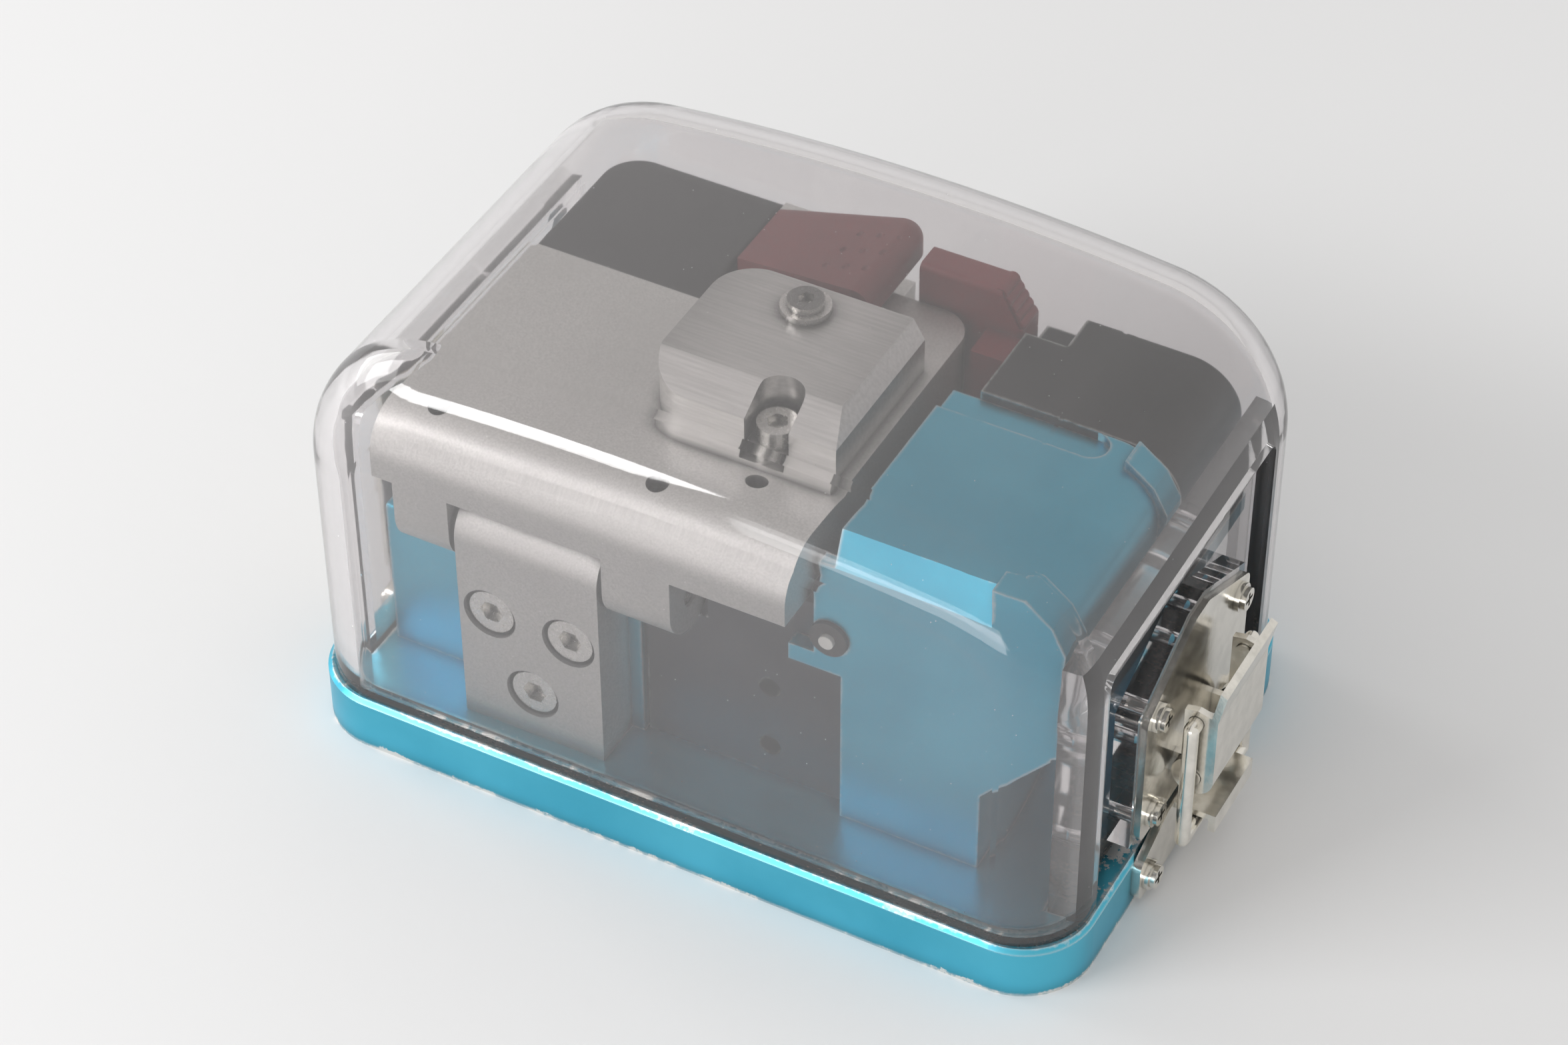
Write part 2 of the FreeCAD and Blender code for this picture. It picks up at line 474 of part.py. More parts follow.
rod(arm, "z", ("anvil_x", "-anvil_y", "arm_bottom - 1"), "anvil_radius + anvil_play", "through", cut=True)
rod(arm, "z", ("-button_x", "button_y", "arm_bottom + well_floor"), "shank_radius + thread_play",
    "arm_thick", cut=True)
rod(arm, "z", ("-magnet_x", "magnet_y", "arm_bottom"), "magnet_radius + thread_play",
    "striker_length + seam", cut=True)

grubs = start("arm_grub_screws")
for x in GRUBS:
    rod(grubs, "z", (x, "-hinge_y", "arm_top - grub_sink - grub_length"), "grub_radius", "grub_length")
    rod(grubs, "z", (x, "-hinge_y", "arm_top - grub_sink - key_depth"), "grub_key", "arm_thick",
        cut=True, sides=6)

end_screw = start("arm_end_screw")
rod(end_screw, "x", ("-lug1_left - end_screw_back", "-hinge_y", "hinge_z"), "pin_radius",
    "end_screw_length")

house = start("anvil_housing")
slab(house, "x", "-house_left",
     [("-house_front", "arm_top"), ("house_rear", "arm_top"), ("house_rear", "arm_top + house_height"),
      ("-house_front + slope_front", "arm_top + house_height"),
      ("-house_front", "arm_top + house_side")], "house_left + house_right")
doc.recompute()
rounded(house, "house_corner", lambda e: along(e, "z") and middle(e).x < 0)
slab(house, "y", "-house_front - 1",
     [("house_right", "arm_top + house_side"), ("house_right + 1", "arm_top + house_side"),
      ("house_right + 1", "arm_top + house_height + 1"), ("house_right - slope_right", "arm_top + house_height + 1"),
      ("house_right - slope_right", "arm_top + house_height")], "house_front + house_rear + 2", cut=True)
box(house, ("slot_x - slot_radius", "-house_front - 1", "arm_top + slot_floor"),
    ("slot_x + slot_radius", "-slot_y", "arm_top + house_height + 1"), cut=True)
rod(house, "z", ("slot_x", "-slot_y", "arm_top + slot_floor"), "slot_radius", "house_height", cut=True)
rod(house, "z", ("slot_x", "-slot_y - slot_screw_back", "arm_top - 1"), "shank_radius + thread_play",
    "house_side", cut=True)
# hollow over the anvil, open at the back where the tab's finger comes in
box(house, ("-cavity", "-anvil_y - cavity_front", "arm_top - 1"), ("cavity", "house_rear + 1", "arm_top + cavity_top"),
    cut=True)
rod(house, "z", ("-button_x", "button_y", "arm_top"), "shank_radius + thread_play", "house_height + 1", cut=True)

house_screws = start("housing_screws")
rod(house_screws, "z", ("-button_x", "button_y", "arm_top + house_height"), "button_radius", "button_height / 2")
rod(house_screws, "z", ("-button_x", "button_y", "arm_top + house_height"), "button_radius * 0.72", "button_height")
rod(house_screws, "z", ("-button_x", "button_y", "arm_top + cavity_top + seam"), "shank_radius",
    "house_height - cavity_top")
rod(house_screws, "z", ("-button_x", "button_y", "arm_top + house_height + button_height / 3"),
    "button_key", "button_height", cut=True, sides=6)
rod(house_screws, "z", ("slot_x", "-slot_y - slot_screw_back", "arm_top + slot_floor"),
    "slot_radius - slot_screw_play", "cap_height * 0.7")
rod(house_screws, "z", ("slot_x", "-slot_y - slot_screw_back", "arm_top + slot_floor + cap_sink * 2"),
    "slot_key", "cap_height", cut=True, sides=6)

anvil = start("anvil")
rod(anvil, "z", ("anvil_x", "-anvil_y", "anvil_bottom"), "anvil_radius", "anvil_top - anvil_bottom")

# ---------------------------------------------------------------- press tab
tab = start("press_tab")
slab(tab, "y", "tab_front_right",
     [("-tab_edge", "tab_low_z - tab_thick"), ("tab_tip", "tab_high_z - tab_thick"),
      ("tab_tip", "tab_high_z"), ("-tab_edge", "tab_low_z")], "tab_rear - tab_front_right")
doc.recompute()
rounded(tab, "tab_round", lambda e: along(e, "z") and middle(e).x > 0 and middle(e).y > value("tab_rear - 1"))
rounded(tab, "tab_round * 0.6", lambda e: middle(e).x > value("tab_tip - tab_round") and
        middle(e).z > value("tab_high_z - 1") and e.BoundBox.ZLength < 1 and
        not (along(e, "y") is False and e.BoundBox.XLength > 5))
# the front edge slants, wide at the tip and narrow at the pivot
slab(tab, "z", "tab_low_z - tab_thick - 2",
     [("-tab_edge - 1", "tab_front_right - 1"), ("tab_tip - finger_reach", "tab_front_right - 1"),
      ("tab_tip - finger_reach", "tab_front_right"), ("-tab_edge - 1", "tab_front_left")], "through", cut=True)
rod(tab, "y", ("-tab_pivot_x", "tab_front_right - 1", "tab_pivot_z"), "tab_pin + running", "through", cut=True)
# finger that reaches over the anvil
slab(tab, "z", "anvil_top",
     [("anvil_x - finger_half", "-anvil_y - finger_reach"), ("anvil_x + finger_half", "-anvil_y - finger_reach"),
      ("anvil_x + finger_half", "tab_front_right + tab_round"),
      ("anvil_x - finger_half", "tab_front_right + tab_round")], "finger_thick")
for column in range(3):
    for line in range(3):
        x = "-dimple_x + %d * dimple_pitch + %d * dimple_lean" % (column, line)
        z = "tab_low_z + (%s + tab_edge) * tab_rise / (tab_tip + tab_edge) + dimple / 2" % x
        dome(tab, (x, "dimple_y + %d * dimple_row" % line, z), "dimple", cut=True)

tab_pin = start("press_tab_pin")
rod(tab_pin, "y", ("-tab_pivot_x", "tab_front_right - tab_thick + seam", "tab_pivot_z"), "tab_pin",
    "tab_rear - tab_front_right + tab_thick + ear_width - 2 * slider_play")

pad = start("arm_pad")
box(pad, ("-pad_left", "pad_front", "shelf_top"), ("-pad_right", "pad_rear", "arm_top"))
doc.recompute()
rounded(pad, "pad_corner", lambda e: along(e, "z") and middle(e).y > value("pad_rear - 1") and middle(e).x < -20)
rounded(pad, "base_edge", lambda e: near(middle(e).z, value("arm_top")) and not near(middle(e).y, value("pad_front")))

# ---------------------------------------------------------------- clamps
CLAMP_SIDES = {"left": ("anvil_x - blade_gap - clamp_width", "anvil_x - blade_gap"),
               "right": ("anvil_x + blade_gap", "anvil_x + blade_gap + clamp_width")}
UPPER_SIDES = {"left": ("anvil_x - anvil_radius - clamp_gap - clamp_width", "anvil_x - anvil_radius - clamp_gap"),
               "right": ("anvil_x + anvil_radius + clamp_gap", "anvil_x + anvil_radius + clamp_gap + clamp_width")}
for side in ("left", "right"):
    a, b = CLAMP_SIDES[side]
    lower = start("lower_clamp_" + side)
    box(lower, (a, "-anvil_y - clamp_length / 2", "centre_top"),
        (b, "-anvil_y + clamp_length / 2", "centre_top + lower_pad"))
    a, b = UPPER_SIDES[side]
    upper = start("upper_clamp_" + side)
    box(upper, (a, "-anvil_y - clamp_length / 2", "arm_bottom - upper_pad"),
        (b, "-anvil_y + clamp_length / 2", "arm_bottom + upper_bed"))
    box(arm, (a, "-anvil_y - clamp_length / 2", "arm_bottom - 1"),
        (b, "-anvil_y + clamp_length / 2", "arm_bottom + upper_bed"), cut=True)

# ---------------------------------------------------------------- slider and blade
slider = start("slider")
box(slider, ("-channel_left + slider_play", "-slider_front", "channel_floor + slider_play"),
    ("channel_right - slider_play", "slider_rear", "channel_floor + slider_play + slider_height"))
box(slider, ("anvil_x - wheel_thick", "-wheel_y - wheel_radius - 1", "wheel_z - wheel_radius - lug_relief"),
    ("anvil_x + wheel_thick", "-wheel_y + wheel_radius + lug_relief", "wheel_z + wheel_radius"), cut=True)
rod(slider, "x", ("-channel_left", "-wheel_y", "wheel_z"), "axle_radius + pin_play", "through", cut=True)
for x in ("-rod_left", "rod_right"):
    rod(slider, "y", (x, "-slider_front - 1", "rod_z"), "rod_radius + running", "through", cut=True)

axle = start("blade_axle")
rod(axle, "x", ("-channel_left + slider_play + pin_short", "-wheel_y", "wheel_z"), "axle_radius",
    "channel_left + channel_right - 2 * slider_play - 2 * pin_short")
wheel = start("blade_wheel")
rod(wheel, "x", ("anvil_x - wheel_thick / 2", "-wheel_y", "wheel_z"), "wheel_radius", "wheel_thick")
doc.recompute()
bevelled(wheel, "wheel_thick * 0.35", lambda e: e.BoundBox.ZLength > value("wheel_radius"))
rod(wheel, "x", ("anvil_x - wheel_thick", "-wheel_y", "wheel_z"), "axle_radius + running",
    "2 * wheel_thick", cut=True)
for x, name in (("-rod_left", "left"), ("rod_right", "right")):
    guide = start("guide_rod_" + name)
    rod(guide, "y", (x, "-centre_front + rod_sink + seam", "rod_z"), "rod_radius",
        "centre_front + slider_rear - front_wall")

knob = start("slider_knob")
box(knob, ("knob_left", "knob_front", "knob_bottom"),
    ("knob_right", "knob_front + knob_depth", "knob_top"))
box(knob, ("nose_left", "nose_front", "nose_bottom"), ("knob_right", "knob_front", "nose_top"))
box(knob, ("knob_left - knob_foot", "knob_front", "knob_bottom"),
    ("knob_left", "knob_front + knob_depth", "arm_bottom - knob_foot_drop"))
RAMP = "(knob_right - knob_rib) / ridges"
FALL = "(knob_proud + knob_gap) / ridges"
slab(knob, "y", "knob_front - 1",
     [("knob_rib", "knob_top"), ("knob_right - knob_gap", "platform_top - knob_gap"),
      ("knob_right + 1", "platform_top - knob_gap"), ("knob_right + 1", "knob_top + 1"),
      ("knob_rib", "knob_top + 1")], "knob_depth + 2", cut=True)
doc.recompute()
rounded(knob, "base_edge * 1.6", lambda e: near(middle(e).z, value("knob_top")) and along(e, "x"))
for i in range(int(value("ridges"))):
    rod(knob, "y", ("knob_rib + %d * %s - seam" % (i, RAMP), "knob_front + ridge_inset",
                    "knob_top - ridge_radius - %d * %s" % (i, FALL)), "ridge_radius",
        "knob_depth - 2 * ridge_inset")
box(knob, ("rear_left - slider_play", "nose_front - 1", "knob_bottom"),
    ("rear_left + knob_depth", "knob_front + 2 * knob_depth", "knob_top + 1"), cut=True)
SCREW_Z = "channel_floor + knob_screw_rise"
rod(knob, "y", ("knob_screw_x", "knob_front - 1", SCREW_Z), "shank_radius + thread_play", "knob_depth + 2",
    cut=True)
rod(slider, "y", ("knob_screw_x", "slider_rear - foot_in", SCREW_Z), "shank_radius + thread_play",
    "foot_in + 1", cut=True)

knob_screw = start("knob_screw")
rod(knob_screw, "y", ("knob_screw_x", "knob_front - foot_in + seam", SCREW_Z), "shank_radius",
    "knob_depth + foot_in - seam")
rod(knob_screw, "y", ("knob_screw_x", "knob_front + knob_depth", SCREW_Z), "cap_radius", "knob_head")
rod(knob_screw, "y", ("knob_screw_x", "knob_front + knob_depth + knob_head / 3", SCREW_Z), "knob_key",
    "knob_head", cut=True, sides=6)

# ---------------------------------------------------------------- small fixed pieces
bumper = start("stop_bumper")
rod(bumper, "y", ("bumper_x", "-right_front - bumper_out", "bumper_z"), "bumper_radius - thread_play",
    "bumper_out + wall_thick / 2")
rod(bumper, "y", ("bumper_x", "-right_front - bumper_out - 1", "bumper_z"), "stud_radius + thread_play", "wall_thick * 2", cut=True)
stud = start("stop_stud")
rod(stud, "y", ("bumper_x", "-right_front - bumper_out - stud_out", "bumper_z"), "stud_radius",
    "bumper_out + stud_out + wall_thick / 2")
magnet = start("arm_magnet")
rod(magnet, "z", ("-magnet_x", "magnet_y", "left_top - magnet_length"), "magnet_radius", "magnet_length")
striker = start("arm_striker")
rod(striker, "z", ("-magnet_x", "magnet_y", "arm_bottom"), "magnet_radius", "striker_length")

# ---------------------------------------------------------------- cover
cover = start("cover")


def flip(text):
    """The same sum of terms with every sign turned round."""
    return " ".join(("+ " if sign == "-" else "- ") + term.strip()
                    for sign, term in re.findall(r"([+-]?)\s*([^+-]+)", text))


def dome_profile(sketch, half, bottom, top, end_round, crown):
    """Straight sides, an end round each side, and one gentle crown."""
    h, z0, z1, r, big = (value(t) for t in (half, bottom, top, end_round, crown))
    reach = math.sqrt((big - r) ** 2 - (h - r) ** 2)
    zc = z1 - big + reach
    ux, uz = (h - r) / (big - r), reach / (big - r)
    up, end = FreeCAD.Vector(0, 0, 1), math.atan2(uz, ux)
    point = FreeCAD.Vector
    sketch.addGeometry(Part.LineSegment(point(-h, z0, 0), point(h, z0, 0)), False)
    sketch.addGeometry(Part.LineSegment(point(h, z0, 0), point(h, zc, 0)), False)
    sketch.addGeometry(Part.ArcOfCircle(Part.Circle(point(h - r, zc, 0), up, r), 0, end), False)
    sketch.addGeometry(Part.ArcOfCircle(Part.Circle(point(0, z1 - big, 0), up, big), end, math.pi - end), False)
    sketch.addGeometry(Part.ArcOfCircle(Part.Circle(point(r - h, zc, 0), up, r), math.pi - end, math.pi), False)
    sketch.addGeometry(Part.LineSegment(point(-h, zc, 0), point(-h, z0, 0)), False)
    joins = [("Coincident", 0, 2, 1, 1), ("Tangent", 1, 2, 2, 1), ("Tangent", 2, 2, 3, 1),
             ("Tangent", 3, 2, 4, 1), ("Tangent", 4, 2, 5, 1), ("Coincident", 5, 2, 0, 1),
             ("Vertical", 1), ("Vertical", 5), ("Equal", 2, 4)]
    for join in joins:
        sketch.addConstraint(Sketcher.Constraint(*join))
    pin_point(sketch, 0, 1, "low_left", (flip(half), bottom))
    pin_point(sketch, 0, 2, "low_right", (half, bottom))
    pin_point(sketch, 3, 3, "centre", ("0", "%s %s" % (top, flip(crown))))
    for item, name, text in ((2, "round_right", end_round), (3, "crown", crown)):
        held = sketch.addConstraint(Sketcher.Constraint("Radius", item, value(text)))
        sketch.renameConstraint(held, name)
        sketch.setExpression("Constraints." + name, bound(text))


RIM = "base_top - ledge_drop"
outer = sketch_on(cover, "y", "-base_width / 2 + cover_inset")
dome_profile(outer, COVER_X, RIM, "cover_top", "end_radius", "crown_radius")
raise_to(cover, outer, "base_width - 2 * cover_inset", back=True)
doc.recompute()
HALF_Y = value(COVER_Y)
rounded(cover, "cover_round", lambda e: near(abs(middle(e).y), HALF_Y) and middle(e).z > value(RIM) + 1)
# the hollow is rounded as a solid of its own before it is taken out
hollow = doc.addObject("PartDesign::Body", "cover_hollow")
inner = sketch_on(hollow, "y", "-base_width / 2 + cover_inset + cover_wall")
dome_profile(inner, COVER_X + " - cover_wall", RIM, "cover_top - cover_wall", "end_radius - cover_wall",
             "crown_radius - cover_wall")
raise_to(hollow, inner, "base_width - 2 * cover_inset - 2 * cover_wall", back=True)
doc.recompute()
IN_Y = HALF_Y - value("cover_wall")
rounded(hollow, "cover_round - cover_wall",
        lambda e: near(abs(middle(e).y), IN_Y) and middle(e).z > value(RIM) + 1)
taken = cover.newObject("PartDesign::Boolean", "Hollow")
taken.setObjects([hollow])
taken.Type = "Cut"
doc.recompute()
# each end wall steps in round its latch, and a many-sided pad brings the latch back out
PLATE = [("-plate_half", "plate_low"), ("plate_half", "plate_low"), ("plate_half", "plate_side"),
         ("peak_half", "plate_peak"), ("-peak_half", "plate_peak"), ("-plate_half", "plate_side")]
PAD = [("-plate_half - pad_margin", "plate_low - pad_margin"), ("plate_half + pad_margin", "plate_low - pad_margin"),
       ("plate_half + pad_margin", "plate_side + pad_margin"), ("peak_half + pad_margin", "plate_peak + pad_margin"),
       ("-peak_half - pad_margin", "plate_peak + pad_margin"),
       ("-plate_half - pad_margin", "plate_side + pad_margin")]
FLOOR = "base_length / 2 - cover_inset - recess_depth"
PAD_OUT = "base_length / 2 - pad_margin + seam"
for way in (1, -1):
    near_x = FLOOR + " - cover_wall" if way > 0 else flip(COVER_X) + " + recess_edge"
    far_x = COVER_X + " - recess_edge" if way > 0 else flip(FLOOR + " - cover_wall")
    box(cover, (near_x, "-recess_half - cover_wall", RIM), (far_x, "recess_half + cover_wall",
        "recess_top + cover_wall"))
    near_x = FLOOR if way > 0 else "-base_length / 2"
    far_x = "base_length / 2" if way > 0 else flip(FLOOR)
    box(cover, (near_x, "-recess_half", "0"), (far_x, "recess_half", "recess_top"), cut=True)
    near_x = FLOOR + " - seam" if way > 0 else flip(PAD_OUT)
    slab(cover, "x", near_x, PAD, "recess_depth + cover_inset - pad_margin + 2 * seam")
doc.recompute()
rounded(cover, "plate_round", lambda e: along(e, "x") and near(abs(middle(e).y), value("recess_half"))
        and near(middle(e).z, value("recess_top")))
for y in ("-latch_screw_y", "latch_screw_y"):
    for z in ("latch_screw_low", "latch_screw_high"):
        rod(cover, "x", ("-base_length / 2", y, z), "small_shank + thread_play", "base_length", cut=True)


# ---------------------------------------------------------------- latches
def whole(label, side):
    """A latch piece is drawn for the right end and turned about Z for the left."""
    body = start(label + "_" + side)
    body.Placement = FreeCAD.Placement(FreeCAD.Vector(), FreeCAD.Vector(0, 0, 1), 0 if side == "right" else 180)
    return body


def domed_screws(body, face, spots):
    """Cross-slotted screws with low stepped domes, driven in through one face."""
    for y, z in spots:
        rod(body, "x", (face + " - small_length", y, z), "small_shank", "small_length")
        rod(body, "x", (face, y, z), "dome_radius", "dome_height / 2")
        rod(body, "x", (face, y, z), "dome_radius * 0.78", "dome_height")
        for half_y, half_z in (("cross_half", "cross_width"), ("cross_width", "cross_half")):
            box(body, (face + " + dome_height - cross_depth", y + " - " + half_y, z + " - " + half_z),
                (face + " + dome_height + 1", y + " + " + half_y, z + " + " + half_z), cut=True)


SEAT = "base_length / 2 - pad_margin + seam"
FRONT = SEAT + " + plate_thick"
PIVOT = FRONT + " + pivot_out - seam"
FACE = FRONT + " + lever_face - seam"
WIRE = FRONT + " + bail_out - seam"
END = "base_length / 2"
# the sheet curls under the pivot, then stops short of the plate's ears
CURL = "lever_face - pivot_out + lever_thick"
PLATE_SCREWS = [(y, z) for y in ("-latch_screw_y", "latch_screw_y") for z in ("latch_screw_low", "latch_screw_high")]
KEEPER_SCREWS = [(y, "keeper_screw_z") for y in ("-keeper_screw_y", "keeper_screw_y")]


def draw_plate(plate):
    slab(plate, "x", SEAT, PLATE, "plate_thick")
    doc.recompute()
    rounded(plate, "plate_round", lambda e: along(e, "x") and near(abs(middle(e).y), value("plate_half")))
    for low_y, high_y in (("-ear_out", "-ear_out + ear_thick"), ("ear_out - ear_thick", "ear_out")):
        box(plate, (FRONT, low_y, "pivot_z - ear_round"), (PIVOT, high_y, "pivot_z + ear_round"))
        rod(plate, "y", (PIVOT, low_y, "pivot_z"), "ear_round", "ear_thick")
    rod(plate, "y", (PIVOT, "-ear_out - 1", "pivot_z"), "latch_pin + running", "2 * ear_out + 2", cut=True)
    for y, z in PLATE_SCREWS:
        rod(plate, "x", (SEAT + " - 1", y, z), "small_shank + thread_play", "plate_thick + 2", cut=True)


def draw_lever(lever):
    rod(lever, "y", (PIVOT, "-lever_half", "pivot_z"), CURL, "2 * lever_half")
    rod(lever, "y", (PIVOT, "-lever_half + lever_thick", "pivot_z"), CURL + " - lever_thick",
        "2 * lever_half - 2 * lever_thick", cut=True)
    box(lever, (FRONT, "-lever_half + lever_thick", "pivot_z - ear_room"),
        (PIVOT + " + ear_room_out", "lever_half - lever_thick", "pivot_z + ear_room"), cut=True)
    box(lever, (FACE, "-lever_half", "pivot_z"), (FACE + " + lever_thick", "lever_half", "lever_high"))
    slab(lever, "y", "-lever_half",
         [(FACE, "lever_high - lip_turn"), (FACE + " + lever_thick", "lever_high - lip_turn"),
          (FACE + " + lever_thick + lip_out", "lever_high + lip_rise - lip_turn"),
          (FACE + " + lip_out", "lever_high + lip_rise")], "2 * lever_half")
    for low_y in ("-lever_half", "lever_half - lever_thick"):
        slab(lever, "y", low_y,
             [(FACE + " + lip_turn", "pivot_z"), (PIVOT, "pivot_z - 1"),
              (FRONT + " + flange_in", "pivot_z + ear_round"), (FRONT + " + flange_in", "bail_top + flange_in"),
              (FACE + " - hook_spread", "bail_top + dome_radius"), (FACE + " + lip_turn", "lever_high")],
             "lever_thick")
    rod(lever, "y", (PIVOT, "-lever_half - 1", "pivot_z"), "latch_pin + running", "2 * lever_half + 2", cut=True)
    rod(lever, "y", (WIRE, "-lever_half - 1", "bail_top"), "bail_wire + running", "2 * lever_half + 2", cut=True)


def draw_bail(bail):
    rod(bail, "y", (WIRE, "-bail_half", "bail_low"), "bail_wire", "2 * bail_half")
    for y in ("-bail_half", "bail_half"):
        rod(bail, "z", (WIRE, y, "bail_low"), "bail_wire", "bail_top - bail_low")
        dome(bail, (WIRE, y, "bail_low"), "bail_wire")
        dome(bail, (WIRE, y, "bail_top"), "bail_wire")
    for low_y in ("-bail_half", "lever_half - lever_thick - pin_proud"):
        rod(bail, "y", (WIRE, low_y, "bail_top"), "bail_wire",
            "bail_half - lever_half + lever_thick + pin_proud")


def draw_keeper(keeper):
    slab(keeper, "x", END,
         [("-keeper_half", "keeper_low"), ("keeper_half", "keeper_low"), ("keeper_half", "keeper_side"),
          ("hook_half + hook_spread", "keeper_top"), ("-hook_half - hook_spread", "keeper_top"),
          ("-keeper_half", "keeper_side")], "keeper_thick")
    doc.recompute()
    rounded(keeper, "plate_round", lambda e: along(e, "x") and near(abs(middle(e).y), value("keeper_half")))
    box(keeper, (END, "-hook_half", "keeper_top - hook_sheet"), (END + " + hook_reach", "hook_half", "keeper_top"))
    box(keeper, (END + " + hook_reach - hook_sheet", "-hook_half", "keeper_top - hook_drop"),
        (END + " + hook_reach", "hook_half", "keeper_top"))
    for y, z in KEEPER_SCREWS:
        rod(keeper, "x", (END + " - 1", y, z), "small_shank + thread_play", "keeper_thick + 2", cut=True)


for side in ("right", "left"):
    draw_plate(whole("latch_plate", side))
    domed_screws(whole("latch_screws", side), FRONT, PLATE_SCREWS)
    draw_lever(whole("latch_lever", side))
    pin = whole("latch_pin", side)
    rod(pin, "y", (PIVOT, "-lever_half - pin_proud", "pivot_z"), "latch_pin", "2 * lever_half + 2 * pin_proud")
    draw_bail(whole("latch_bail", side))
    draw_keeper(whole("keeper", side))
    domed_screws(whole("keeper_screws", side), END + " + keeper_thick", KEEPER_SCREWS)
for y, z in KEEPER_SCREWS:
    for x in ("-" + END, END + " - small_length"):
        rod(base, "x", (x, y, z), "small_shank + thread_play", "small_length", cut=True)

# ---------------------------------------------------------------- check and export
doc.recompute()
for item in doc.Objects:
    for state in item.State:
        if state in ("Invalid", "Error"):
            raise RuntimeError("%s in %s is %s: %s" % (item.Name, [p.Label for p in item.InList], state,
                                                       item.getStatusString()))
os.makedirs("parts", exist_ok=True)
for item in doc.Objects:
    if item.TypeId != "PartDesign::Body" or item.Label == hollow.Label:
        continue
    if not item.Shape.isValid() or not item.Shape.Solids:
        raise RuntimeError(item.Label + " has no valid solid")
    item.Shape.exportStep("parts/%s.step" % item.Label)
    print(item.Label, len(item.Shape.Solids), round(item.Shape.Volume, 1))
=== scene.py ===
# %% [markdown]
# # A pocket fibre cleaver under its clear cover
# The cleaver cuts glass fibre square across.  Its working parts sit on an anodised base,
# and a smoked clear cover drops over them and is held by a small latch at each end.
# The shapes come ready made from the CAD frame, screws and pins too.  This lesson gives
# each of them its finish and sets up a plain studio.  The floor is the one shape it adds.

# %% Load the frame
import bpy
import math
from mathutils import Matrix, Vector


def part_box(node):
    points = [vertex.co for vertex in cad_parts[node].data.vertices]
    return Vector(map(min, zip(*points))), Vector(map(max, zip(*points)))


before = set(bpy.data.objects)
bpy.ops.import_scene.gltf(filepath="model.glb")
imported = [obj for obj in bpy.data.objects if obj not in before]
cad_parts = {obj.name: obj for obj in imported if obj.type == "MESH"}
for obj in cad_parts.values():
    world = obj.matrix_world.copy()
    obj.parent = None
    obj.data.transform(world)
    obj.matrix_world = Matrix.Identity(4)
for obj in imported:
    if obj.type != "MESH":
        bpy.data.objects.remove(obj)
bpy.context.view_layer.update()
print("pieces in the frame:", len(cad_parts))

# %% [markdown]
# ## Where the eye stands
# A long lens from about half a metre keeps the block's edges close to parallel.  The eye
# could be turned by three rotations, but two angles, a small roll and a distance are
# easier to read and to change.  They give the way from the model to the eye and the
# picture's own sideways and upward directions, and the camera is set along those.

# %% Camera
MM = 0.001
EYE_TURN, EYE_LIFT, EYE_ROLL = (math.radians(a) for a in (28.49, 42.18, -0.35))
EYE_AWAY = 468.7 * MM
EYE_ASIDE = -2.07 * MM
EYE_ABOVE = 18.55 * MM
NEAREST = 10 * MM
FILM_WIDTH, LENS = 36, 94.6          # Blender counts these two in millimetres

away = Vector((math.sin(EYE_TURN) * math.cos(EYE_LIFT),
               -math.cos(EYE_TURN) * math.cos(EYE_LIFT),
               math.sin(EYE_LIFT)))
level = Vector((math.cos(EYE_TURN), math.sin(EYE_TURN), 0))
upward = away.cross(level)
side = level * math.cos(EYE_ROLL) + upward * math.sin(EYE_ROLL)
top = upward * math.cos(EYE_ROLL) - level * math.sin(EYE_ROLL)
spot = away * EYE_AWAY + side * EYE_ASIDE + top * EYE_ABOVE
turn = Matrix((side, top, away)).transposed().to_4x4()

eye = bpy.data.objects.new("eye", bpy.data.cameras.new("eye"))
bpy.context.scene.collection.objects.link(eye)
eye.data.sensor_width = FILM_WIDTH
eye.data.lens = LENS
eye.data.clip_start = NEAREST
eye.matrix_world = Matrix.Translation(spot) @ turn
bpy.context.scene.camera = eye
print("the eye stands at", [round(c, 3) for c in spot])

# %% [markdown]
# ## A plain studio
# Clear plastic and polished metal show whatever is round them, so the room matters as
# much as the finish.  Small hard lamps would leave dots on every rounded edge.  An even
# sky and three wide soft lamps give broad, quiet reflections instead.

# %% Sky and lamps
SKY_COLOUR = (1.0, 0.99, 0.975, 1)
SKY_STRENGTH = 0.74
MIDDLE = (0, 0, 30 * MM)


def lamp(name, place, width, height, power):
    """A soft oblong lamp that faces the middle of the model, in metres and watts."""
    made = bpy.data.objects.new(name, bpy.data.lights.new(name, "AREA"))
    bpy.context.scene.collection.objects.link(made)
    made.data.energy = power
    made.data.shape = "RECTANGLE"
    made.data.size = width
    made.data.size_y = height
    made.location = place
    made.rotation_euler = (Vector(MIDDLE) - Vector(place)).to_track_quat("-Z", "Y").to_euler()
    print(name, "is", width, "by", height, "m and gives", power, "W")


bpy.context.scene.view_settings.view_transform = "Standard"
sky = bpy.data.worlds.new("sky")
bpy.context.scene.world = sky
sky.use_nodes = True
background = sky.node_tree.nodes["Background"]
background.inputs["Color"].default_value = SKY_COLOUR
background.inputs["Strength"].default_value = SKY_STRENGTH
lamp("key_lamp", place=(-0.55, -0.62, 0.55), width=0.5, height=0.22, power=4.6)
lamp("front_lamp", place=(0.05, -0.85, 0.16), width=0.7, height=0.25, power=2.3)
lamp("left_lamp", place=(-0.9, 0.05, 0.36), width=0.5, height=0.4, power=2.6)

# %% [markdown]
# ## The floor
# The tool stands on a wide pale sheet.  A bent backdrop would hide a horizon, but the eye
# looks down and sees none, so one flat square is enough.  It catches the shadow.

# %% Floor
FLOOR_REACH = 3.0

